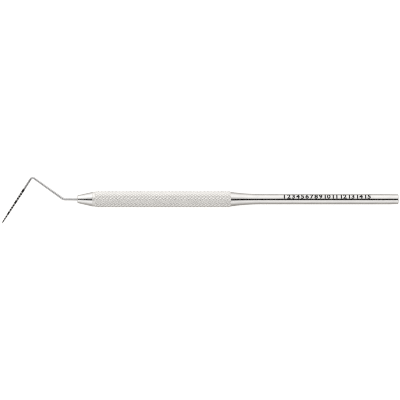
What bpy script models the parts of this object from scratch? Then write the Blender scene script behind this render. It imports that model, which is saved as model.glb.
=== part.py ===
"""A single-ended periodontal probe, lying flat on a table.

The handle's axis runs along X, with the working end towards -X and the tail towards +X. The two bends
of the wire lie in one horizontal plane, with the elbow towards +Y. The driving dimensions below are in
millimetres, with x measured along the handle's axis from the front face of the cone. The last step sets
the whole instrument down with the middle of its footprint at the origin, its grip touching z = 0.
"""

import math

import bmesh
import bpy
from mathutils import Matrix, Vector

MM = 0.001

# The handle: cone, knurled grip and tail, all round about the X axis.
HANDLE_LENGTH = 120.0
CONE_LENGTH = 5.6
CONE_FRONT_RADIUS = 1.48
CONE_BACK_RADIUS = 2.69
CONE_NOSE_ROUND = 0.2
CONE_NOSE_STEPS = 3
RIM_RADIUS = 2.72
RIM_CHAMFER = 0.05
KNURL_START = 6.5
KNURL_RUN_IN = 0.05
KNURL_PEAK_RADIUS = 2.925
KNURL_DEPTH = 0.235
DIAMOND_PITCH = 1.32
DIAMOND_ROWS = 77
DIAMONDS_AROUND = 14
FLARE_RADIUS = 84.0
FLARE_STEPS = 8
TAIL_RADIUS = 1.9
TAIL_END_ROUND = 0.25
TAIL_END_STEPS = 3
TAIL_RELIEF = 0.05
TAIL_RELIEF_LENGTH = 3.2
TAIL_RELIEF_SLOPE_LENGTH = 1.0

# The joint between handle and wire: a spigot on the cone sits in the handle, a tang in the cone.
FIT_GAP = 0.03
SPIGOT_RADIUS = 1.6
SPIGOT_LENGTH = 8.0
SPIGOT_CHAMFER = 0.2
SOCKET_SPARE_DEPTH = 0.6
TANG_RADIUS = 0.5
TANG_END = 12.4
TANG_CHAMFER = 0.15
MOUTH_RADIUS = 1.0
MOUTH_DEPTH = 0.15
BRAZE_RADIUS = 0.95
BRAZE_THICKNESS = 0.22
BRAZE_EDGE = 0.02
BRAZE_STEPS = 4

# The wire: straight out of the cone, bent up to the elbow, then back down as the working end.
EXIT_LENGTH = 5.3
SHANK_LENGTH = 14.4
WORKING_LENGTH = 20.7
SHANK_ANGLE = math.radians(35.6)
WORKING_ANGLE = math.radians(57.1)
FIRST_BEND_RADIUS = 2.2
ELBOW_RADIUS = 0.9
FIRST_BEND_STEPS = 5
ELBOW_STEPS = 8
# (distance from the tip, radius): the working end tapers, the shank thickens slightly to the tang.
TAPER = ((0.0, 0.24), (5.0, 0.36), (15.0, 0.44), (WORKING_LENGTH, 0.44), (37.0, 0.47), (40.0, TANG_RADIUS))
TIP_ROUND_STEPS = 3

# The graduation: black enamel rings inlaid in turned grooves, read in millimetres from the tip.
LINE_WIDTH = 0.47
WIDE_OVERHANG = 0.15
GROOVE_DEPTH = 0.075
ENAMEL_THICKNESS = 0.06
ENAMEL_END_GAP = 0.02
LINE_MARKS = (1, 2, 3, 6, 7, 8, 11, 12, 13)
WIDE_MARKS = ((4, 5), (9, 10), (14, 15))

HANDLE_SIDES = 2 * DIAMONDS_AROUND
WIRE_SIDES = 16

KNURL_END = KNURL_START + DIAMOND_ROWS * DIAMOND_PITCH / 2
GROOVE_RADIUS = KNURL_PEAK_RADIUS - KNURL_DEPTH

# Vertices closer than this are one, and edges that turn more than this look sharp.
MERGE_DISTANCE = 1e-5
SHARP_ANGLE = math.radians(30)


def clear_scene():
    for obj in list(bpy.data.objects):
        bpy.data.objects.remove(obj, do_unlink=True)


def steel(name, colour, roughness):
    """A bare or plated metal."""
    material = bpy.data.materials.new(name)
    material.use_nodes = True
    shader = material.node_tree.nodes["Principled BSDF"]
    shader.inputs["Base Color"].default_value = (*colour, 1.0)
    shader.inputs["Metallic"].default_value = 1.0
    shader.inputs["Roughness"].default_value = roughness
    return material


def enamel(name, colour, roughness):
    """A hard coloured filling."""
    material = steel(name, colour, roughness)
    material.node_tree.nodes["Principled BSDF"].inputs["Metallic"].default_value = 0.0
    return material


def add_object(name, bm, material, root):
    """Turns the bmesh, in millimetres, into a smooth-shaded object in metres, held by root."""
    bmesh.ops.remove_doubles(bm, verts=bm.verts, dist=MERGE_DISTANCE)
    bmesh.ops.recalc_face_normals(bm, faces=bm.faces)
    bmesh.ops.scale(bm, vec=(MM, MM, MM), verts=bm.verts)
    mesh = bpy.data.meshes.new(name)
    bm.to_mesh(mesh)
    bm.free()
    mesh.materials.append(material)
    mesh.shade_smooth()
    mesh.set_sharp_from_angle(angle=SHARP_ANGLE)
    obj = bpy.data.objects.new(name, mesh)
    bpy.context.scene.collection.objects.link(obj)
    obj.parent = root
    return obj


def turned(profile, sides, closed=False):
    """A bmesh spun about X from (x, radius) points. A closed profile goes round a bore.
    A flat of the many-sided solid faces down, so that it can lie on it."""
    bm = bmesh.new()
    half_side = math.pi / sides
    across = Vector((0.0, math.sin(half_side), math.cos(half_side)))
    verts = [bm.verts.new(Vector((x, 0.0, 0.0)) + radius * across) for x, radius in profile]
    pairs = list(zip(verts, verts[1:]))
    if closed:
        pairs.append((verts[-1], verts[0]))
    edges = [bm.edges.new(pair) for pair in pairs]
    bmesh.ops.spin(bm, geom=verts + edges, cent=(0, 0, 0), axis=(1, 0, 0), angle=math.tau, steps=sides)
    bmesh.ops.remove_doubles(bm, verts=bm.verts, dist=MERGE_DISTANCE)
    return bm


def arc(start, end, centre, radius, steps):
    """(x, radius) points of a round stretch of a profile, between two angles about its centre."""
    angles = [start + (end - start) * k / steps for k in range(steps + 1)]
    return [(centre[0] + radius * math.cos(a), centre[1] + radius * math.sin(a)) for a in angles]


def flare_profile():
    """The hollow curve that runs down from the grip and meets the tail at a tangent."""
    rise = GROOVE_RADIUS - TAIL_RADIUS
    sweep = math.acos(1 - rise / FLARE_RADIUS)
    centre = (KNURL_END + FLARE_RADIUS * math.sin(sweep), TAIL_RADIUS + FLARE_RADIUS)
    return arc(-math.pi / 2 - sweep, -math.pi / 2, centre, FLARE_RADIUS, FLARE_STEPS)


def press_knurl(bm):
    """Raises every second point of the plain grip to a peak, and folds each cell along its groove."""
    first_row = KNURL_START + DIAMOND_PITCH / 4
    last_row = KNURL_END - DIAMOND_PITCH / 4
    grip = [v for v in bm.verts if first_row < v.co.x < last_row]
    peaks = set()
    for vert in grip:
        row = round((vert.co.x - KNURL_START) / (DIAMOND_PITCH / 2))
        angle = math.atan2(vert.co.y, vert.co.z) - math.pi / HANDLE_SIDES
        column = round(angle / (math.tau / HANDLE_SIDES))
        if (row + column) % 2:
            vert.co.yz = vert.co.yz * (KNURL_PEAK_RADIUS / GROOVE_RADIUS)
            peaks.add(vert)
    for face in list(bm.faces):
        if not peaks.intersection(face.verts):
            continue
        low = [v for v in face.verts if v not in peaks]
        if len(face.verts) == 4 and len(low) == 2:
            bmesh.utils.face_split(face, low[0], low[1])
        elif len(face.verts) == 4:
            peak = next(v for v in face.verts if v in peaks)
            opposite = next(v for v in low if not set(v.link_edges) & set(peak.link_edges))
            sides = [v for v in low if v is not opposite]
            bmesh.utils.face_split(face, sides[0], sides[1])


def make_handle(root, material):
    """One turned bar: a socket in its front, the knurled grip, the flare and the slim tail."""
    socket_radius = SPIGOT_RADIUS + FIT_GAP
    socket_end = CONE_LENGTH + SPIGOT_LENGTH + SOCKET_SPARE_DEPTH
    front = CONE_LENGTH + FIT_GAP
    rows = [(KNURL_START + k * DIAMOND_PITCH / 2, GROOVE_RADIUS) for k in range(DIAMOND_ROWS + 1)]
    relief = HANDLE_LENGTH - TAIL_RELIEF_LENGTH
    end_radius = TAIL_RADIUS - TAIL_RELIEF
    end_centre = (HANDLE_LENGTH - TAIL_END_ROUND, end_radius - TAIL_END_ROUND)
    profile = [
        (socket_end, 0.0),
        (socket_end, socket_radius),
        (front, socket_radius),
        (front, RIM_RADIUS - RIM_CHAMFER),
        (front + RIM_CHAMFER, RIM_RADIUS),
        (KNURL_START - KNURL_RUN_IN, RIM_RADIUS),
        *rows,
        *flare_profile()[1:],
        (relief, TAIL_RADIUS),
        (relief + TAIL_RELIEF_SLOPE_LENGTH, end_radius),
        *arc(math.pi / 2, 0, end_centre, TAIL_END_ROUND, TAIL_END_STEPS),
        (HANDLE_LENGTH, 0.0),
    ]
    bm = turned(profile, HANDLE_SIDES)
    press_knurl(bm)
    return add_object("handle", bm, material, root)


def make_cone(root, material):
    """The polished nose: a cone with a spigot behind it, and a bore for the tang right through. The
    bore's mouth is countersunk for the braze."""
    bore_radius = TANG_RADIUS + FIT_GAP
    back = CONE_LENGTH + SPIGOT_LENGTH
    nose_centre = (CONE_NOSE_ROUND, CONE_FRONT_RADIUS - CONE_NOSE_ROUND)
    profile = [
        (MOUTH_DEPTH, bore_radius),
        (0.0, MOUTH_RADIUS),
        *arc(math.pi, math.pi / 2, nose_centre, CONE_NOSE_ROUND, CONE_NOSE_STEPS),
        (CONE_LENGTH, CONE_BACK_RADIUS),
        (CONE_LENGTH, SPIGOT_RADIUS),
        (back - SPIGOT_CHAMFER, SPIGOT_RADIUS),
        (back, SPIGOT_RADIUS - SPIGOT_CHAMFER),
        (back, bore_radius),
    ]
    return add_object("front_cone", turned(profile, HANDLE_SIDES, closed=True), material, root)


def make_braze(root, material):
    """The small hollow fillet of silver braze that fills the bore's mouth and seals the wire into it."""
    inner = TANG_RADIUS + FIT_GAP
    face = -FIT_GAP
    reach = BRAZE_RADIUS - inner
    fillet = [
        (face - BRAZE_THICKNESS * (1 - math.sin(a)), inner + reach * (1 - math.cos(a)))
        for a in (math.pi / 2 * k / BRAZE_STEPS for k in range(BRAZE_STEPS + 1))
    ]
    profile = [
        (MOUTH_DEPTH - FIT_GAP, inner),
        *fillet[:-1],
        (face - BRAZE_EDGE, BRAZE_RADIUS),
        (face, BRAZE_RADIUS),
    ]
    return add_object("braze_fillet", turned(profile, HANDLE_SIDES, closed=True), material, root)


def wire_corners():
    """The corners of the wire's centre line before rounding, from the tang's end to the tip."""
    bend = Vector((-EXIT_LENGTH, 0.0))
    elbow = bend + SHANK_LENGTH * Vector((-math.cos(SHANK_ANGLE), math.sin(SHANK_ANGLE)))
    tip = elbow + WORKING_LENGTH * Vector((-math.cos(WORKING_ANGLE), -math.sin(WORKING_ANGLE)))
    return Vector((TANG_END, 0.0)), bend, elbow, tip


def rounded_corner(before, corner, after, radius, steps):
    """(point, direction) stations round a corner, with the direction of travel at each."""
    incoming = (corner - before).normalized()
    outgoing = (after - corner).normalized()
    turn = incoming.angle_signed(outgoing)
    run_in = radius * math.tan(abs(turn) / 2)
    start = corner - incoming * run_in
    inward = Vector((-incoming.y, incoming.x)) * (-1 if turn > 0 else 1)
    centre = start + inward * radius
    stations = []
    for k in range(steps + 1):
        spin = Matrix.Rotation(-turn * k / steps, 2)
        stations.append((centre - spin @ inward * radius, spin @ incoming))
    return stations


def radius_at(distance):
    """The wire's radius at a distance from the tip, along the taper."""
    for (near, small), (far, large) in zip(TAPER, TAPER[1:]):
        if distance <= far:
            return small + (large - small) * (distance - near) / (far - near)
    return TAPER[-1][1]


def marks():
    """(name, start, end) of every graduation mark, measured from the tip."""
    lines = [(f"mark_{m:02d}", m - LINE_WIDTH / 2, m + LINE_WIDTH / 2) for m in LINE_MARKS]
    wide = [(f"mark_{a:02d}_{b:02d}", a - WIDE_OVERHANG, b + WIDE_OVERHANG) for a, b in WIDE_MARKS]
    return sorted(lines + wide, key=lambda mark: mark[1])


def wire_stations():
    """(point, direction, radius) all along the wire, from the tang's end to the tip."""
    tang_end, bend, elbow, tip = wire_corners()
    path = [(tang_end, Vector((-1.0, 0.0))), (Vector((0.0, 0.0)), Vector((-1.0, 0.0)))]
    path += rounded_corner(tang_end, bend, elbow, FIRST_BEND_RADIUS, FIRST_BEND_STEPS)
    path += rounded_corner(bend, elbow, tip, ELBOW_RADIUS, ELBOW_STEPS)
    lengths = [0.0]
    for (a, _), (b, _) in zip(path, path[1:]):
        lengths.append(lengths[-1] + (b - a).length)
    to_tip = (tip - path[-1][0]).length
    whole = lengths[-1] + to_tip
    stations = [(point, way, radius_at(whole - gone)) for (point, way), gone in zip(path, lengths)]
    first_point, first_way, first_radius = stations[0]
    chamfered = (first_point, first_way, first_radius - TANG_CHAMFER)
    stations[0] = (first_point + first_way * TANG_CHAMFER, first_way, first_radius)
    stations.insert(0, chamfered)
    way = (tip - elbow).normalized()
    for _, start, end in reversed(marks()):
        for place, drop in ((end, 0.0), (end, GROOVE_DEPTH), (start, GROOVE_DEPTH), (start, 0.0)):
            stations.append((tip - way * place, way, radius_at(place) - drop))
    tip_radius = TAPER[0][1]
    for k in range(TIP_ROUND_STEPS):
        a = math.pi / 2 * k / TIP_ROUND_STEPS
        back = tip_radius * (1 - math.sin(a))
        stations.append((tip - way * back, way, tip_radius * math.cos(a)))
    return stations, tip


def make_wire(root, material):
    """The tang, shank and working end: one tapered wire, bent twice, with a groove for each mark."""
    stations, tip = wire_stations()
    bm = bmesh.new()
    rings = []
    for point, way, radius in stations:
        side = Vector((-way.y, way.x, 0.0))
        centre = Vector((point.x, point.y, 0.0))
        angles = [math.tau * (k + 0.5) / WIRE_SIDES for k in range(WIRE_SIDES)]
        ring = [centre + radius * (math.cos(a) * side + math.sin(a) * Vector((0, 0, 1))) for a in angles]
        rings.append([bm.verts.new(place) for place in ring])
    for ring, after in zip(rings, rings[1:]):
        for k in range(WIRE_SIDES):
            n = (k + 1) % WIRE_SIDES
            bm.faces.new((ring[k], ring[n], after[n], after[k]))
    bm.faces.new(rings[0])
    point = bm.verts.new((tip.x, tip.y, 0.0))
    for k in range(WIRE_SIDES):
        bm.faces.new((rings[-1][k], rings[-1][(k + 1) % WIRE_SIDES], point))
    return add_object("probe_wire", bm, material, root)


def make_marks(root, material):
    """The enamel rings, each turned about its own X axis and then set on the working end."""
    _, _, elbow, tip = wire_corners()
    way = (elbow - tip).normalized()
    for name, start, end in marks():
        middle = (start + end) / 2
        half = (end - start) / 2 - ENAMEL_END_GAP
        near, far = radius_at(middle - half), radius_at(middle + half)
        profile = [
            (-half, near - ENAMEL_THICKNESS),
            (-half, near),
            (half, far),
            (half, far - ENAMEL_THICKNESS),
        ]
        ring = add_object(name, turned(profile, WIRE_SIDES, closed=True), material, root)
        place = tip + way * middle
        ring.location = (place.x * MM, place.y * MM, 0.0)
        ring.rotation_euler = (0.0, 0.0, math.atan2(way.y, way.x))


def set_down(root):
    """Moves the instrument so that the middle of its footprint is at the origin, on z = 0."""
    bpy.context.view_layer.update()
    corners = [obj.matrix_world @ v.co for obj in root.children for v in obj.data.vertices]
    low = [min(c[axis] for c in corners) for axis in range(3)]
    high = [max(c[axis] for c in corners) for axis in range(3)]
    root.location = (-(low[0] + high[0]) / 2, -(low[1] + high[1]) / 2, -low[2])


def main():
    clear_scene()
    root = bpy.data.objects.new("probe_axis", None)
    bpy.context.scene.collection.objects.link(root)
    satin = steel("satin_steel", (0.62, 0.61, 0.59), 0.35)
    polished = steel("polished_steel", (0.68, 0.67, 0.65), 0.12)
    spring_steel = steel("wire_steel", (0.58, 0.57, 0.56), 0.18)
    braze = steel("silver_braze", (0.70, 0.68, 0.63), 0.3)
    black = enamel("black_enamel", (0.012, 0.012, 0.012), 0.4)
    make_handle(root, satin)
    make_cone(root, polished)
    make_braze(root, braze)
    make_wire(root, spring_steel)
    make_marks(root, black)
    set_down(root)


main()
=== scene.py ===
"""The looks of a single-ended periodontal probe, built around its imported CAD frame.

The probe's lengths are in millimetres until the last step of each piece, which turns them into metres.
x runs along the handle's axis from the front face of the cone, y towards the elbow of the wire and z up,
with the axis itself at y = z = 0, as in the CAD. The studio is laid out in the row frame, in metres.
"""

import math

import bmesh
import bpy
from mathutils import Matrix, Vector


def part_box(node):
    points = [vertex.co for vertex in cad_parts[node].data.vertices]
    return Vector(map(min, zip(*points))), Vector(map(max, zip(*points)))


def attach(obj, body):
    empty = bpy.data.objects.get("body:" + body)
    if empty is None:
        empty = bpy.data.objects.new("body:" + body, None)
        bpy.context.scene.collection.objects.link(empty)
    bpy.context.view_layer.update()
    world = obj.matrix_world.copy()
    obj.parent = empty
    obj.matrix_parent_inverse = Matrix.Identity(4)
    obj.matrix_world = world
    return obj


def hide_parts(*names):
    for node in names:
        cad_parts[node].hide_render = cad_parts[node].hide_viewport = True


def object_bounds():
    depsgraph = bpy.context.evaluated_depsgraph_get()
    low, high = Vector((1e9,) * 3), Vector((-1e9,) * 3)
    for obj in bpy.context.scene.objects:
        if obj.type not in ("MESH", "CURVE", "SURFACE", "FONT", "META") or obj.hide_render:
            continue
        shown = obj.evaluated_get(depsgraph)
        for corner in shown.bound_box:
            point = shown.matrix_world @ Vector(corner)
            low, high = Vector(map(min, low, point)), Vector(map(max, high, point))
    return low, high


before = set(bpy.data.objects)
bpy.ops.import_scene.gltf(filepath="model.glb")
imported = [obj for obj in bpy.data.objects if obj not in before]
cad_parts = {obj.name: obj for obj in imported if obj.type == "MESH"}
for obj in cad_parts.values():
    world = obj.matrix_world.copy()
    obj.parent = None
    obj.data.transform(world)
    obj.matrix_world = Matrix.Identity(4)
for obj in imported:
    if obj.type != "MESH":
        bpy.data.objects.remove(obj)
cad_low, cad_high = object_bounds()

MM = 0.001

# The axis of the handle in the row frame, from the cone's box.
cone_low, cone_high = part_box("front_cone")
NOSE = Vector((cone_low.x, (cone_low.y + cone_high.y) / 2, (cone_low.z + cone_high.z) / 2))
HANDLE_LENGTH = (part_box("handle")[1].x - NOSE.x) / MM

# The probe lies on its knurl's peaks, so this is also the grip's largest radius.
REST_RADIUS = (NOSE.z - cad_low.z) / MM

# Cone and collar.
CONE_LENGTH = 5.6
CONE_FRONT_RADIUS = 1.48
CONE_BACK_RADIUS = 2.69
CONE_NOSE_ROUND = 0.2
CONE_EDGE_BREAK = 0.02
CONE_SIDES = 96
RIM_RADIUS = 2.72
RIM_CHAMFER = 0.03
JOINT_GAP = 0.01
SPIGOT_RADIUS = 1.6
SPIGOT_LENGTH = 8.0
SPIGOT_CHAMFER = 0.2
SOCKET_SPARE_DEPTH = 0.6
FIT_GAP = 0.02

# Grip: diamonds between two crossing families of grooves, with flat tops where the bar is uncut. CELLS is
# the number of mesh cells in half a diamond, and a groove's two half widths are shares of the pitch.
KNURL_START = 6.5
DIAMOND_PITCH = 1.32
HALF_ROWS = 77
DIAMONDS_AROUND = 14
CELLS = 4
ROOT_RADIUS = 2.69
GROOVE_ROOT = 0.03
GROOVE_WIDTH = 0.3
RUN_OUT_SLOPE = 0.5
KNURL_END = KNURL_START + HALF_ROWS * DIAMOND_PITCH / 2
HANDLE_SIDES = 2 * DIAMONDS_AROUND * CELLS

# The plain rings next to the knurl stand this far from its first and last rings.
COLLAR_STANDOFF = 0.03
FLARE_STANDOFF = 0.02

# Flare and tail.
FLARE_START_RADIUS = 2.705
FLARE_RADIUS = 84.0
FLARE_STEPS = 28
TAIL_RADIUS = 1.9
TAIL_RELIEF = 0.05
TAIL_RELIEF_LENGTH = 3.2
TAIL_RELIEF_SLOPE_LENGTH = 1.0
TAIL_END_ROUND = 0.25

# Steps in the small rounds of the cone's nose and the tail's end.
ROUND_STEPS = 8

# Rings this far from a change of slope keep the long faces beyond them straight in the reflections.
SUPPORT = 0.06

# Wire. The taper is the radius at distances from the tip.
EXIT_LENGTH = 5.3
SHANK_LENGTH = 14.4
WORKING_LENGTH = 20.7
SHANK_ANGLE = math.radians(35.6)
WORKING_ANGLE = math.radians(57.1)
FIRST_BEND_RADIUS = 2.2
FIRST_BEND_STEPS = 14
ELBOW_RADIUS = 0.9
ELBOW_STEPS = 22
TANG_RADIUS = 0.5
TANG_END = 12.4
TAPER = ((0.0, 0.24), (5.0, 0.36), (15.0, 0.44), (WORKING_LENGTH, 0.44), (37.0, 0.47), (40.0, TANG_RADIUS))
WIRE_SIDES = 40
TIP_STEPS = 10

# Rings of the straight stretch before the first bend, by x, from the tang's end and out of the bore.
TANG_RINGS = (TANG_END, 6.0, 0.0, -2.0)

# Graduation.
LINE_WIDTH = 0.47
LINE_MARKS = (1, 2, 3, 6, 7, 8, 11, 12, 13)
WIDE_MARKS = ((4, 5), (9, 10), (14, 15))
WIDE_OVERHANG = 0.15
GROOVE_DEPTH = 0.06
ENAMEL_THICKNESS = 0.056
ENAMEL_EDGE = 0.012
ENAMEL_GAP = 0.004

# Braze fillet. It is sunk a little into the wire and into the cone's face, so that no gap shows.
BRAZE_RADIUS = 0.95
BRAZE_HEIGHT = 0.3
BRAZE_STEPS = 10
BRAZE_SIDES = 64
BRAZE_INTO_WIRE = 0.02
BRAZE_INTO_CONE = 0.01

# Etched numerals on the tail.
NUMERALS = range(1, 16)
NUMERALS_START = 77.1
NUMERALS_END = 109.6
NUMERAL_HEIGHT = 1.9
NUMERAL_WEIGHT = 0.04
NUMERAL_SPACING = 0.5
NUMERAL_CURVE_STEPS = 3
NUMERALS_MIDDLE = math.radians(33)
ETCH_THICKNESS = 0.006
ETCH_STRIPS = 12

# Points of a mesh that are closer than this are one, in millimetres and in the font's own units.
MERGE = 1e-5
FONT_MERGE = 1e-4

# Edges that turn by more than this many degrees are shaded sharp.
HANDLE_CREASE = 24.0
CONE_CREASE = 28.0
NUMERALS_CREASE = 30.0
WIRE_CREASE = 35.0
BRAZE_CREASE = 35.0
BAND_CREASE = 50.0

# The darker and the lighter colour of each material.
POLISHED_TINTS = ((0.74, 0.73, 0.72), (0.80, 0.79, 0.775))
BUFFED_TINTS = ((0.82, 0.817, 0.81), (0.88, 0.877, 0.87))
KNURL_TINTS = ((0.85, 0.84, 0.82), (0.90, 0.89, 0.87))
# Painted shade: a darker colour for the knurl's groove roots, standing for the shade deep in the grooves.
KNURL_ROOT_SHADE_TINT = (0.82, 0.805, 0.78)
COLLAR_TINTS = ((0.84, 0.83, 0.81), (0.94, 0.93, 0.91))
WIRE_TINTS = ((0.60, 0.60, 0.605), (0.68, 0.68, 0.685))
BRAZE_TINTS = ((0.66, 0.63, 0.57), (0.80, 0.77, 0.71))
ENAMEL_TINTS = ((0.004, 0.004, 0.004), (0.016, 0.016, 0.016))
OXIDE_TINTS = ((0.008, 0.008, 0.008), (0.03, 0.029, 0.028))
# Painted shadow: the floor's grey under the probe and on the side away from the elbow.
FLOOR_SHADOW_TINTS = ((0.49, 0.475, 0.455), (0.53, 0.515, 0.495))
TABLE_CARD_TINT = (0.94, 0.93, 0.92)
FLAG_TINTS = ((0.01, 0.01, 0.01), (0.02, 0.02, 0.02))
WHITE = (1.0, 1.0, 1.0)

# Typical roughness of the two polishes.
POLISHED_ROUGHNESS = 0.13
BUFFED_ROUGHNESS = 0.185

# Nearly all of a noise lies in the first range. The second is narrower, which leaves plain patches.
NOISE_RANGE = (0.3, 0.7)
CLOUD_RANGE = (0.35, 0.65)

# Studio, in metres. Towards the elbow's side, the grey floor turns into a white card between these y. The
# grey is painted shadow: it darkens the floor under the probe and on the side away from the elbow, as the
# probe's shadow would, and shows in the steel's reflections.
FLOOR_SIDE = 6.0
FLOOR_CARD_START = 0.003
FLOOR_CARD_END = 0.014
FLOOR_GLOW = 0.7
SURROUND_TINT = (1.0, 0.99, 0.975)
SURROUND_STRENGTH = 0.8

# Two black cards, level with the floor, as (name, one corner, the opposite corner).
FLAG_HEIGHT = 0.6
FLAGS = (
    ("overhead_flag", (-0.5, -0.25), (0.25, 0.1)),
    ("side_flag", (0.27, -0.7), (0.8, -0.27)),
)

# Long soft lights, as (name, degrees from overhead towards +Y, width, radiance).
SOFTBOX_DISTANCE = 0.9
SOFTBOX_LENGTH = 1.8
SOFTBOXES = (
    ("key_softbox", 62.0, 0.95, 0.4),
    ("key_core", 62.0, 0.3, 0.5),
    ("fill_softbox", -45.0, 0.6, 0.25),
)

# Camera. The probe's length fills the frame but for this margin.
VIEW_MARGIN = 1.0086
LENS_MM = 200.0
SENSOR_MM = 36.0

# The width of Cycles' pixel filter, for edges as crisp as the photo's.
PIXEL_FILTER = 1.1


# ---------------------------------------------------------------- mesh helpers


def add_piece(name, bm, material, crease):
    """Moves the bmesh from millimetres about the axis into the row frame, as a smooth-shaded object."""
    bmesh.ops.remove_doubles(bm, verts=bm.verts, dist=MERGE)
    bmesh.ops.recalc_face_normals(bm, faces=bm.faces)
    bmesh.ops.transform(bm, matrix=Matrix.Translation(NOSE) @ Matrix.Scale(MM, 4), verts=bm.verts)
    mesh = bpy.data.meshes.new(name)
    bm.to_mesh(mesh)
    bm.free()
    mesh.shade_smooth()
    mesh.set_sharp_from_angle(angle=math.radians(crease))
    mesh.materials.append(material)
    piece = bpy.data.objects.new(name, mesh)
    bpy.context.scene.collection.objects.link(piece)
    return piece


def add_card(name, corners, height, material):
    """A level rectangle of the studio, from (x, y) corners."""
    mesh = bpy.data.meshes.new(name)
    mesh.from_pydata([(x, y, height) for x, y in corners], [], [(0, 1, 2, 3)])
    mesh.materials.append(material)
    card = bpy.data.objects.new(name, mesh)
    bpy.context.scene.collection.objects.link(card)
    return card


def turned(profile, sides):
    """A bmesh spun about X from a closed outline of (x, radius) points that goes round a bore."""
    bm = bmesh.new()
    verts = [bm.verts.new((x, 0.0, radius)) for x, radius in profile]
    edges = [bm.edges.new(pair) for pair in zip(verts, verts[1:])]
    edges.append(bm.edges.new((verts[-1], verts[0])))
    bmesh.ops.spin(bm, geom=verts + edges, cent=(0, 0, 0), axis=(1, 0, 0), angle=math.tau, steps=sides)
    bmesh.ops.remove_doubles(bm, verts=bm.verts, dist=MERGE)
    return bm


def arc(start, end, centre, radius, steps):
    """(x, radius) points of a round stretch of a profile, between two angles about its centre."""
    angles = [start + (end - start) * k / steps for k in range(steps + 1)]
    return [(centre[0] + radius * math.cos(a), centre[1] + radius * math.sin(a)) for a in angles]


def skin(bm, near, far):
    """Joins two rings with the same number of corners by a belt of faces."""
    for k in range(len(near)):
        n = (k + 1) % len(near)
        bm.faces.new((near[k], near[n], far[n], far[k]))


def cap(bm, ring, middle):
    """Closes a ring with a fan of faces to a point."""
    point = bm.verts.new(middle)
    for k, vert in enumerate(ring):
        bm.faces.new((vert, ring[(k + 1) % len(ring)], point))


# ---------------------------------------------------------------- handle and cone


def flare_profile():
    """The hollow curve that runs down from the grip and meets the tail at a tangent."""
    sweep = math.acos(1 - (FLARE_START_RADIUS - TAIL_RADIUS) / FLARE_RADIUS)
    centre = (KNURL_END + FLARE_RADIUS * math.sin(sweep), TAIL_RADIUS + FLARE_RADIUS)
    return arc(-math.pi / 2 - sweep, -math.pi / 2, centre, FLARE_RADIUS, FLARE_STEPS)


def groove_share(t):
    """How deep a groove is, from 0 on a diamond's flat top to 1 at the groove's root."""
    away = abs(t - round(t))
    return min(1.0, max(0.0, (GROOVE_WIDTH - away) / (GROOVE_WIDTH - GROOVE_ROOT)))


def knurl_radius(x, around):
    """The grip's radius at x and at a share of the way round, cut by the two families of grooves."""
    along = (x - KNURL_START) / DIAMOND_PITCH
    across = around * DIAMONDS_AROUND
    share = max(groove_share(along + across), groove_share(along - across))
    cut = REST_RADIUS + (ROOT_RADIUS - REST_RADIUS) * share
    from_end = min(x - KNURL_START, KNURL_END - x)
    return min(cut, RIM_RADIUS + RUN_OUT_SLOPE * from_end)


def share_round(k):
    """How far round the handle its corner k stands, from 0 to 1. The first is a quarter diamond along."""
    return (k + 0.5 * CELLS) / HANDLE_SIDES


def handle_corner(x, radius, k):
    angle = math.tau * share_round(k)
    return (x, radius * math.sin(angle), radius * math.cos(angle))


def make_grip(bm):
    """The knurled skin, with each cell split along the groove it is nearer to. Returns both end rings."""
    step = DIAMOND_PITCH / (2 * CELLS)
    count = HALF_ROWS * CELLS
    sides = range(HANDLE_SIDES)
    rings = []
    for row in range(count + 1):
        x = KNURL_START + row * step
        rings.append([bm.verts.new(handle_corner(x, knurl_radius(x, share_round(k)), k)) for k in sides])
    for row in range(count):
        near, far = rings[row], rings[row + 1]
        for k in sides:
            n = (k + 1) % HANDLE_SIDES
            along = (row + 0.5) / (2 * CELLS)
            across = (k + 0.5 + 0.5 * CELLS) / (2 * CELLS)
            rising = abs((along + across + 0.5) % 1 - 0.5)
            falling = abs((along - across + 0.5) % 1 - 0.5)
            if rising < falling:
                bm.faces.new((near[k], near[n], far[k]))
                bm.faces.new((near[n], far[n], far[k]))
            else:
                bm.faces.new((near[k], near[n], far[n]))
                bm.faces.new((near[k], far[n], far[k]))
    return rings[0], rings[-1]


def extend(bm, ring, profile):
    """Carries a ring of the handle on through (x, radius) points and returns the last ring."""
    for x, radius in profile:
        after = [bm.verts.new(handle_corner(x, radius, k)) for k in range(HANDLE_SIDES)]
        skin(bm, ring, after)
        ring = after
    return ring


def make_handle(satin, collar, polished):
    """One bar: the grip, then forwards to the collar and its blind socket, and back to the tail's end."""
    front = CONE_LENGTH + JOINT_GAP
    socket = SPIGOT_RADIUS + FIT_GAP
    socket_end = CONE_LENGTH + SPIGOT_LENGTH + SOCKET_SPARE_DEPTH
    end_radius = TAIL_RADIUS - TAIL_RELIEF
    relief = HANDLE_LENGTH - TAIL_RELIEF_LENGTH
    round_centre = (HANDLE_LENGTH - TAIL_END_ROUND, end_radius - TAIL_END_ROUND)
    bm = bmesh.new()
    first, last = make_grip(bm)
    nose_side = [
        (KNURL_START - COLLAR_STANDOFF, RIM_RADIUS),
        (front + RIM_CHAMFER, RIM_RADIUS),
        (front, RIM_RADIUS - RIM_CHAMFER),
        (front, socket),
        (socket_end, socket),
    ]
    cap(bm, extend(bm, first, nose_side), (socket_end, 0.0, 0.0))
    tail_side = [
        (KNURL_END + FLARE_STANDOFF, FLARE_START_RADIUS),
        *flare_profile()[1:],
        (relief - SUPPORT, TAIL_RADIUS),
        (relief, TAIL_RADIUS),
        (relief + TAIL_RELIEF_SLOPE_LENGTH, end_radius),
        *arc(math.pi / 2, 0, round_centre, TAIL_END_ROUND, ROUND_STEPS),
    ]
    cap(bm, extend(bm, last, tail_side), (HANDLE_LENGTH, 0.0, 0.0))
    handle = add_piece("knurled_handle", bm, satin, HANDLE_CREASE)
    slots = handle.data.materials
    slots.append(collar)
    slots.append(polished)
    for face in handle.data.polygons:
        along = (face.center.x - NOSE.x) / MM
        if along > KNURL_END:
            face.material_index = slots.find(polished.name)
        elif along < KNURL_START:
            face.material_index = slots.find(collar.name)
    return handle


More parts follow.
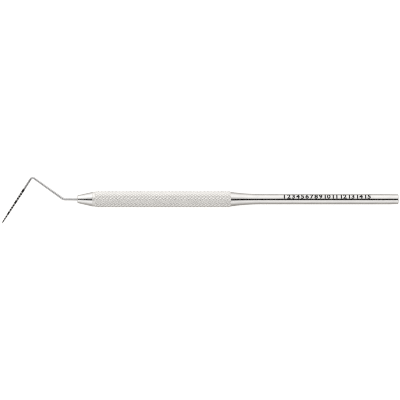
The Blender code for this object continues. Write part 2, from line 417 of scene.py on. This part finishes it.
def make_cone(material):
    bore = TANG_RADIUS + FIT_GAP
    back = CONE_LENGTH + SPIGOT_LENGTH
    nose_centre = (CONE_NOSE_ROUND, CONE_FRONT_RADIUS - CONE_NOSE_ROUND)
    slope = (CONE_BACK_RADIUS - CONE_FRONT_RADIUS) / (CONE_LENGTH - CONE_NOSE_ROUND)
    nose_end = math.pi / 2 + math.atan(slope)
    profile = [
        (0.0, bore),
        *arc(math.pi, nose_end, nose_centre, CONE_NOSE_ROUND, ROUND_STEPS),
        (CONE_NOSE_ROUND + SUPPORT, CONE_FRONT_RADIUS + slope * SUPPORT),
        (CONE_LENGTH - CONE_EDGE_BREAK, CONE_BACK_RADIUS - slope * CONE_EDGE_BREAK),
        (CONE_LENGTH, CONE_BACK_RADIUS - 2 * CONE_EDGE_BREAK),
        (CONE_LENGTH, SPIGOT_RADIUS),
        (back - SPIGOT_CHAMFER, SPIGOT_RADIUS),
        (back, SPIGOT_RADIUS - SPIGOT_CHAMFER),
        (back, bore),
    ]
    return add_piece("polished_cone", turned(profile, CONE_SIDES), material, CONE_CREASE)


def make_braze(material):
    """A hollow fillet, which meets the wire and the cone's face nearly at a tangent."""
    inner = TANG_RADIUS - BRAZE_INTO_WIRE
    reach = BRAZE_RADIUS - inner
    profile = []
    for k in range(BRAZE_STEPS + 1):
        a = math.pi / 2 * k / BRAZE_STEPS
        profile.append((-BRAZE_HEIGHT * (1 - math.sin(a)), inner + reach * (1 - math.cos(a))))
    profile += [(BRAZE_INTO_CONE, BRAZE_RADIUS), (BRAZE_INTO_CONE, inner)]
    return add_piece("silver_braze", turned(profile, BRAZE_SIDES), material, BRAZE_CREASE)


# ---------------------------------------------------------------- wire and bands


def wire_corners():
    """The corners of the wire's centre line before rounding, from the tang's end to the tip."""
    bend = Vector((-EXIT_LENGTH, 0.0))
    elbow = bend + SHANK_LENGTH * Vector((-math.cos(SHANK_ANGLE), math.sin(SHANK_ANGLE)))
    tip = elbow + WORKING_LENGTH * Vector((-math.cos(WORKING_ANGLE), -math.sin(WORKING_ANGLE)))
    return Vector((TANG_END, 0.0)), bend, elbow, tip


def rounded_corner(before, corner, after, radius, steps):
    """(point, direction) stations round a corner of the centre line."""
    incoming = (corner - before).normalized()
    turn = incoming.angle_signed((after - corner).normalized())
    start = corner - incoming * radius * math.tan(abs(turn) / 2)
    inward = Vector((-incoming.y, incoming.x)) * (-1 if turn > 0 else 1)
    centre = start + inward * radius
    stations = []
    for k in range(steps + 1):
        spin = Matrix.Rotation(-turn * k / steps, 2)
        stations.append((centre - spin @ inward * radius, spin @ incoming))
    return stations


def radius_at(distance):
    """The wire's radius at a distance from the tip."""
    for (near, small), (far, large) in zip(TAPER, TAPER[1:]):
        if distance <= far:
            return small + (large - small) * (distance - near) / (far - near)
    return TAPER[-1][1]


def marks():
    """(name, start, end) of every graduation band, measured from the tip."""
    lines = [(f"{m:02d}", m - LINE_WIDTH / 2, m + LINE_WIDTH / 2) for m in LINE_MARKS]
    wide = [(f"{a:02d}_{b:02d}", a - WIDE_OVERHANG, b + WIDE_OVERHANG) for a, b in WIDE_MARKS]
    return sorted(lines + wide, key=lambda mark: mark[1])


def wire_stations():
    """(point, direction, radius, distance from the tip) all along the wire, and the tip itself."""
    tang_end, bend, elbow, tip = wire_corners()
    path = [(Vector((x, 0.0)), Vector((-1.0, 0.0))) for x in TANG_RINGS]
    path += rounded_corner(tang_end, bend, elbow, FIRST_BEND_RADIUS, FIRST_BEND_STEPS)
    path += rounded_corner(bend, elbow, tip, ELBOW_RADIUS, ELBOW_STEPS)
    lengths = [0.0]
    for (a, _), (b, _) in zip(path, path[1:]):
        lengths.append(lengths[-1] + (b - a).length)
    whole = lengths[-1] + (tip - path[-1][0]).length
    stations = []
    for (point, way), gone in zip(path, lengths):
        stations.append((point, way, radius_at(whole - gone), whole - gone))
    way = (tip - elbow).normalized()
    for _, start, end in reversed(marks()):
        for place, drop in ((end, 0.0), (end, GROOVE_DEPTH), (start, GROOVE_DEPTH), (start, 0.0)):
            stations.append((tip - way * place, way, radius_at(place) - drop, place))
    tip_radius = TAPER[0][1]
    for k in range(TIP_STEPS):
        a = math.pi / 2 * k / TIP_STEPS
        back = tip_radius * (1 - math.sin(a))
        stations.append((tip - way * back, way, tip_radius * math.cos(a), back))
    return stations, tip


def make_wire(material):
    """The bent wire, with its grooves. Each vertex keeps its place along and round it for the grain."""
    stations, tip = wire_stations()
    bm = bmesh.new()
    grain = bm.verts.layers.float_vector.new("grain")
    up = Vector((0, 0, 1))
    rings = []
    for point, way, radius, distance in stations:
        side = Vector((-way.y, way.x, 0.0))
        centre = Vector((point.x, point.y, 0.0))
        ring = []
        for k in range(WIRE_SIDES):
            a = math.tau * k / WIRE_SIDES
            vert = bm.verts.new(centre + radius * (math.cos(a) * side + math.sin(a) * up))
            vert[grain] = (math.cos(a), math.sin(a), distance)
            ring.append(vert)
        rings.append(ring)
    for ring, after in zip(rings, rings[1:]):
        skin(bm, ring, after)
    bm.faces.new(rings[0])
    cap(bm, rings[-1], (tip.x, tip.y, 0.0))
    return add_piece("bent_wire", bm, material, WIRE_CREASE)


def make_band(name, start, end, material):
    """One enamel ring, slightly rounded at both edges, turned about X and laid along the working end."""
    _, _, elbow, tip = wire_corners()
    way = (elbow - tip).normalized()
    middle = (start + end) / 2
    half = (end - start) / 2 - ENAMEL_GAP
    near, far = radius_at(middle - half), radius_at(middle + half)
    profile = [
        (-half, near - ENAMEL_THICKNESS),
        (-half, near - ENAMEL_EDGE),
        (ENAMEL_EDGE - half, near),
        (half - ENAMEL_EDGE, far),
        (half, far - ENAMEL_EDGE),
        (half, far - ENAMEL_THICKNESS),
    ]
    bm = turned(profile, WIRE_SIDES)
    place = tip + way * middle
    turn = Matrix.Rotation(math.atan2(way.y, way.x), 4, "Z")
    bmesh.ops.transform(bm, matrix=Matrix.Translation((place.x, place.y, 0.0)) @ turn, verts=bm.verts)
    return add_piece(name, bm, material, BAND_CREASE)


# ---------------------------------------------------------------- numerals


def flat_numerals():
    """A flat bmesh of the graduation's numbers in the built-in font, in the font's own units."""
    curve = bpy.data.curves.new("numerals", "FONT")
    curve.body = " ".join(str(number) for number in NUMERALS)
    curve.align_x = "CENTER"
    curve.resolution_u = NUMERAL_CURVE_STEPS
    curve.extrude = ETCH_THICKNESS / 2
    curve.offset = NUMERAL_WEIGHT
    curve.space_word = NUMERAL_SPACING
    holder = bpy.data.objects.new("numerals", curve)
    bpy.context.scene.collection.objects.link(holder)
    bpy.context.view_layer.update()
    flat = bpy.data.meshes.new_from_object(holder.evaluated_get(bpy.context.evaluated_depsgraph_get()))
    bm = bmesh.new()
    bm.from_mesh(flat)
    bpy.data.objects.remove(holder)
    bpy.data.curves.remove(curve)
    bpy.data.meshes.remove(flat)
    bmesh.ops.remove_doubles(bm, verts=bm.verts, dist=FONT_MERGE)
    return bm


def make_numerals(material):
    """The numbers, stretched to their row's length and height and wrapped round the tail in strips."""
    bm = flat_numerals()
    low = [min(v.co[axis] for v in bm.verts) for axis in range(2)]
    high = [max(v.co[axis] for v in bm.verts) for axis in range(2)]
    long_scale = (NUMERALS_END - NUMERALS_START) / (high[0] - low[0])
    tall_scale = NUMERAL_HEIGHT / (high[1] - low[1])
    for vert in bm.verts:
        vert.co.x = NUMERALS_START + (vert.co.x - low[0]) * long_scale
        vert.co.y = (vert.co.y - (low[1] + high[1]) / 2) * tall_scale
    for k in range(1, ETCH_STRIPS):
        y = NUMERAL_HEIGHT * (k / ETCH_STRIPS - 0.5)
        geom = bm.verts[:] + bm.edges[:] + bm.faces[:]
        bmesh.ops.bisect_plane(bm, geom=geom, dist=MERGE, plane_co=(0, y, 0), plane_no=(0, 1, 0))
    for vert in bm.verts:
        radius = TAIL_RADIUS + ETCH_THICKNESS / 2 + vert.co.z
        angle = NUMERALS_MIDDLE + vert.co.y / TAIL_RADIUS
        vert.co = (vert.co.x, radius * math.sin(angle), radius * math.cos(angle))
    return add_piece("etched_numerals", bm, material, NUMERALS_CREASE)


# ---------------------------------------------------------------- materials


class Nodes:
    """Adds and links the nodes of one material."""

    def __init__(self, name, metallic=0.0):
        self.material = bpy.data.materials.new(name)
        self.material.use_nodes = True
        self.tree = self.material.node_tree
        self.shader = self.tree.nodes["Principled BSDF"]
        self.surface("Metallic", metallic)

    def surface(self, name, value):
        """Sets or links one input of the shader."""
        self.feed(self.shader.inputs[name], value)

    def feed(self, socket, value):
        """Links a node's output to a socket or gives it a value. A colour's three numbers are opaque."""
        if isinstance(value, bpy.types.NodeSocket):
            self.tree.links.new(value, socket)
        elif socket.type == "RGBA":
            socket.default_value = (*value, 1.0)
        else:
            socket.default_value = value

    def add(self, kind, inputs=None, **settings):
        node = self.tree.nodes.new(kind)
        for key, value in settings.items():
            setattr(node, key, value)
        for key, value in (inputs or {}).items():
            self.feed(node.inputs[key], value)
        return node

    def object_coordinates(self):
        return self.add("ShaderNodeTexCoord").outputs["Object"]

    def stretched(self, vector, scale):
        """A vector scaled along each of its axes."""
        return self.add("ShaderNodeMapping", {"Vector": vector, "Scale": scale}).outputs["Vector"]

    def place_mm(self, along, across):
        """Object coordinates in millimetres, stretched by one scale along the handle and one across it."""
        return self.stretched(self.object_coordinates(), (along / MM, across / MM, across / MM))

    def noise(self, vector, detail=3.0, roughness=0.55):
        inputs = {"Vector": vector, "Scale": 1.0, "Detail": detail, "Roughness": roughness}
        return self.add("ShaderNodeTexNoise", inputs).outputs["Fac"]

    def spread(self, value, low, high, to_low, to_high):
        inputs = {"Value": value, "From Min": low, "From Max": high, "To Min": to_low, "To Max": to_high}
        return self.add("ShaderNodeMapRange", inputs).outputs["Result"]

    def varied(self, noise, low, high):
        """A value that goes from low to high with a noise."""
        return self.spread(noise, *NOISE_RANGE, low, high)

    def total(self, a, b):
        return self.add("ShaderNodeMath", {0: a, 1: b}, operation="ADD").outputs[0]

    def blend(self, factor, a, b):
        """A colour between a and b."""
        inputs = {"Factor": factor, "A": a, "B": b}
        return self.add("ShaderNodeMix", inputs, data_type="RGBA").outputs["Result"]

    def clouded(self, noise, tints):
        """A colour that drifts between two tints, with plain patches of each."""
        return self.blend(self.spread(noise, *CLOUD_RANGE, 0.0, 1.0), *tints)

    def bump(self, height, strength, distance_mm):
        inputs = {"Height": height, "Strength": strength, "Distance": distance_mm * MM}
        self.surface("Normal", self.add("ShaderNodeBump", inputs).outputs["Normal"])

    def radius_mm(self):
        """Distance from the handle's axis, in millimetres."""
        from_nose = {0: self.object_coordinates(), 1: NOSE}
        shifted = self.add("ShaderNodeVectorMath", from_nose, operation="SUBTRACT").outputs["Vector"]
        to_mm = {0: shifted, 1: (0.0, 1 / MM, 1 / MM)}
        across = self.add("ShaderNodeVectorMath", to_mm, operation="MULTIPLY").outputs["Vector"]
        return self.add("ShaderNodeVectorMath", {0: across}, operation="LENGTH").outputs["Value"]


def polished_steel(name, tints, roughness):
    """Lathe-turned and buffed steel: fine rings round the axis, faint cloudiness and small scratches."""
    n = Nodes(name, metallic=1.0)
    rings = n.noise(n.place_mm(along=9.0, across=0.35), detail=4.0, roughness=0.6)
    cloud = n.noise(n.place_mm(along=0.35, across=0.6))
    scratch = n.noise(n.place_mm(along=1.2, across=14.0), detail=2.0)
    scratches = n.spread(scratch, 0.62, 0.72, to_low=0.0, to_high=0.06)
    n.surface("Base Color", n.clouded(cloud, tints))
    n.surface("Roughness", n.total(n.varied(rings, 0.8 * roughness, 1.25 * roughness), scratches))
    n.bump(rings, strength=0.12, distance_mm=0.004)
    return n.material


def knurled_steel():
    """Satin steel: bright worn tops, duller flanks, and groove roots darkened in colour as painted shade of
    the grooves.
    """
    n = Nodes("satin_knurled_steel", metallic=1.0)
    height = n.spread(n.radius_mm(), ROOT_RADIUS, REST_RADIUS, to_low=0.0, to_high=1.0)
    grain = n.noise(n.place_mm(along=6.0, across=6.0), detail=4.0, roughness=0.65)
    patches = n.noise(n.place_mm(along=0.25, across=0.5))
    uneven = n.total(height, n.varied(grain, -0.06, 0.06))
    out_of_root_shade = n.spread(uneven, 0.1, 0.5, to_low=0.0, to_high=1.0)
    # Painted shade: the base colour darkens towards the groove roots, where the grooves are shaded.
    n.surface("Base Color", n.blend(out_of_root_shade, KNURL_ROOT_SHADE_TINT, n.clouded(patches, KNURL_TINTS)))
    worn_tops = n.spread(height, 0.8, 1.0, to_low=0.0, to_high=-0.04)
    n.surface("Roughness", n.total(n.varied(grain, 0.28, 0.38), worn_tops))
    n.bump(grain, strength=0.25, distance_mm=0.01)
    return n.material


def collar_steel():
    """The short plain collar, blasted to a soft even satin."""
    n = Nodes("blasted_collar_steel", metallic=1.0)
    grit = n.noise(n.place_mm(along=14.0, across=14.0), detail=4.0, roughness=0.65)
    n.surface("Base Color", n.blend(grit, *COLLAR_TINTS))
    n.surface("Roughness", n.varied(grit, 0.5, 0.62))
    n.bump(grit, strength=0.3, distance_mm=0.008)
    return n.material


def drawn_steel():
    """Spring steel, with fine lines along the wire from the drawing die."""
    n = Nodes("drawn_wire_steel", metallic=1.0)
    grain = n.add("ShaderNodeAttribute", attribute_name="grain").outputs["Vector"]
    lines = n.noise(n.stretched(grain, (9.0, 9.0, 0.5)), detail=4.0, roughness=0.6)
    cloud = n.noise(n.place_mm(along=0.6, across=0.6))
    n.surface("Base Color", n.clouded(cloud, WIRE_TINTS))
    n.surface("Roughness", n.varied(lines, 0.18, 0.3))
    n.bump(lines, strength=0.15, distance_mm=0.004)
    return n.material


def braze_metal():
    """Silver solder, bright and slightly lumpy from its melting."""
    n = Nodes("silver_braze_metal", metallic=1.0)
    lumps = n.noise(n.place_mm(along=3.0, across=3.0))
    n.surface("Base Color", n.blend(lumps, *BRAZE_TINTS))
    n.surface("Roughness", n.varied(lumps, 0.22, 0.4))
    n.bump(lumps, strength=0.3, distance_mm=0.02)
    return n.material


def black_enamel():
    """Hard enamel with a little gloss, rubbed slightly grey in places."""
    n = Nodes("black_band_enamel")
    grain = n.noise(n.place_mm(along=5.0, across=5.0), detail=4.0)
    rubbed = n.spread(grain, 0.45, 0.8, to_low=0.0, to_high=1.0)
    n.surface("Base Color", n.blend(rubbed, *ENAMEL_TINTS))
    n.surface("Roughness", n.varied(grain, 0.35, 0.55))
    n.surface("Specular IOR Level", 0.22)
    n.bump(grain, strength=0.1, distance_mm=0.005)
    return n.material


def etched_oxide():
    """The dark oxide that a marking laser leaves."""
    n = Nodes("etched_oxide")
    grain = n.noise(n.place_mm(along=8.0, across=8.0))
    n.surface("Base Color", n.blend(grain, *OXIDE_TINTS))
    n.surface("Roughness", n.varied(grain, 0.5, 0.7))
    n.surface("Specular IOR Level", 0.1)
    return n.material


# ---------------------------------------------------------------- studio


def table_white():
    """A grey floor painted with the probe's shadow under it and away from the elbow, with a white card on
    the elbow's side, lifted to white only where the camera sees it.
    """
    n = Nodes("studio_floor_white")
    n.surface("Roughness", 0.9)
    n.surface("Specular IOR Level", 0.1)
    speck = n.noise(n.place_mm(along=0.02, across=0.02))
    # Painted shadow: grey under the probe and on the side away from the elbow, white card beyond.
    shadowed_floor = n.blend(speck, *FLOOR_SHADOW_TINTS)
    side = n.add("ShaderNodeSeparateXYZ", {0: n.object_coordinates()}).outputs["Y"]
    card = n.spread(side, FLOOR_CARD_START, FLOOR_CARD_END, to_low=0.0, to_high=1.0)
    n.surface("Base Color", n.blend(card, shadowed_floor, TABLE_CARD_TINT))
    plain = n.shader.outputs[0]
    glow = n.add("ShaderNodeEmission", {"Color": WHITE, "Strength": FLOOR_GLOW}).outputs[0]
    lifted = n.add("ShaderNodeAddShader", {0: plain, 1: glow}).outputs[0]
    seen = n.add("ShaderNodeLightPath").outputs["Is Camera Ray"]
    picked = n.add("ShaderNodeMixShader", {0: seen, 1: plain, 2: lifted}).outputs[0]
    n.feed(n.tree.nodes["Material Output"].inputs["Surface"], picked)
    return n.material


def make_floor():
    half = FLOOR_SIDE / 2
    corners = [(-half, -half), (half, -half), (half, half), (-half, half)]
    floor = add_card("studio_floor", corners, 0.0, table_white())


def flag_black(name):
    n = Nodes(name)
    weave = n.noise(n.place_mm(along=0.2, across=0.2), detail=2.0)
    n.surface("Base Color", n.blend(weave, *FLAG_TINTS))
    n.surface("Roughness", 1.0)
    n.surface("Specular IOR Level", 0.0)
    return n.material


def make_flag(name, near, far):
    """A black card that the camera, the shadows and the soft light ignore: it only shows in the steel."""
    corners = [(near[0], near[1]), (far[0], near[1]), (far[0], far[1]), (near[0], far[1])]
    flag = add_card(name, corners, FLAG_HEIGHT, flag_black(name + "_black"))
    flag.visible_camera = False
    flag.visible_shadow = False
    flag.visible_diffuse = False


def make_softbox(name, zenith_degrees, width, radiance):
    """A long soft light parallel to the handle, tilted from straight overhead towards +Y."""
    light = bpy.data.lights.new(name, "AREA")
    light.shape = "RECTANGLE"
    light.size = SOFTBOX_LENGTH
    light.size_y = width
    light.energy = radiance * math.pi * SOFTBOX_LENGTH * width
    lamp = bpy.data.objects.new(name, light)
    bpy.context.scene.collection.objects.link(lamp)
    tilt = math.radians(zenith_degrees)
    lamp.location = (0.0, SOFTBOX_DISTANCE * math.sin(tilt), SOFTBOX_DISTANCE * math.cos(tilt))
    lamp.rotation_euler = (-tilt, 0.0, 0.0)
    lamp.visible_camera = False


def make_world():
    """A soft surround that lights the probe, and plain white where the camera sees past the floor."""
    world = bpy.data.worlds.new("studio_surround")
    world.use_nodes = True
    tree = world.node_tree
    surround = tree.nodes["Background"]
    surround.inputs["Color"].default_value = (*SURROUND_TINT, 1.0)
    surround.inputs["Strength"].default_value = SURROUND_STRENGTH
    backdrop = tree.nodes.new("ShaderNodeBackground")
    backdrop.inputs["Color"].default_value = (*WHITE, 1.0)
    path = tree.nodes.new("ShaderNodeLightPath")
    pick = tree.nodes.new("ShaderNodeMixShader")
    tree.links.new(path.outputs["Is Camera Ray"], pick.inputs[0])
    tree.links.new(surround.outputs[0], pick.inputs[1])
    tree.links.new(backdrop.outputs[0], pick.inputs[2])
    tree.links.new(pick.outputs[0], tree.nodes["World Output"].inputs["Surface"])
    bpy.context.scene.world = world


def make_camera():
    """Straight above the middle of the probe, far enough for its length to fill the frame."""
    centre = (cad_low + cad_high) / 2
    seen = (cad_high.x - cad_low.x) * VIEW_MARGIN
    data = bpy.data.cameras.new("camera")
    data.lens = LENS_MM
    data.sensor_width = SENSOR_MM
    camera = bpy.data.objects.new("camera", data)
    bpy.context.scene.collection.objects.link(camera)
    camera.location = (centre.x, centre.y, NOSE.z + seen * LENS_MM / SENSOR_MM)
    bpy.context.scene.camera = camera


def dress(piece, slot, *nodes):
    """The piece rides on the probe's one body and stands for its CAD nodes."""
    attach(piece, "root")
    if nodes:
        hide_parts(*nodes)


def make_probe():
    polished = polished_steel("polished_steel", POLISHED_TINTS, POLISHED_ROUGHNESS)
    buffed = polished_steel("buffed_cone_steel", BUFFED_TINTS, BUFFED_ROUGHNESS)
    enamel = black_enamel()
    dress(make_handle(knurled_steel(), collar_steel(), polished), "handle_steel", "handle")
    dress(make_cone(buffed), "polished_steel", "front_cone")
    dress(make_braze(braze_metal()), "silver_braze", "braze_fillet")
    dress(make_wire(drawn_steel()), "wire_steel", "probe_wire")
    for name, start, end in marks():
        dress(make_band("band_" + name, start, end, enamel), "black_enamel", "mark_" + name)
    dress(make_numerals(etched_oxide()), "black_enamel")


def make_studio():
    make_floor()
    for flag in FLAGS:
        make_flag(*flag)
    for softbox in SOFTBOXES:
        make_softbox(*softbox)
    make_world()
    make_camera()


def set_look():
    """Whites stay white, and no denoising smears the fine knurl."""
    scene = bpy.context.scene
    scene.view_settings.view_transform = "Standard"
    scene.cycles.filter_width = PIXEL_FILTER
    scene.cycles.use_denoising = False


make_probe()
make_studio()
set_look()
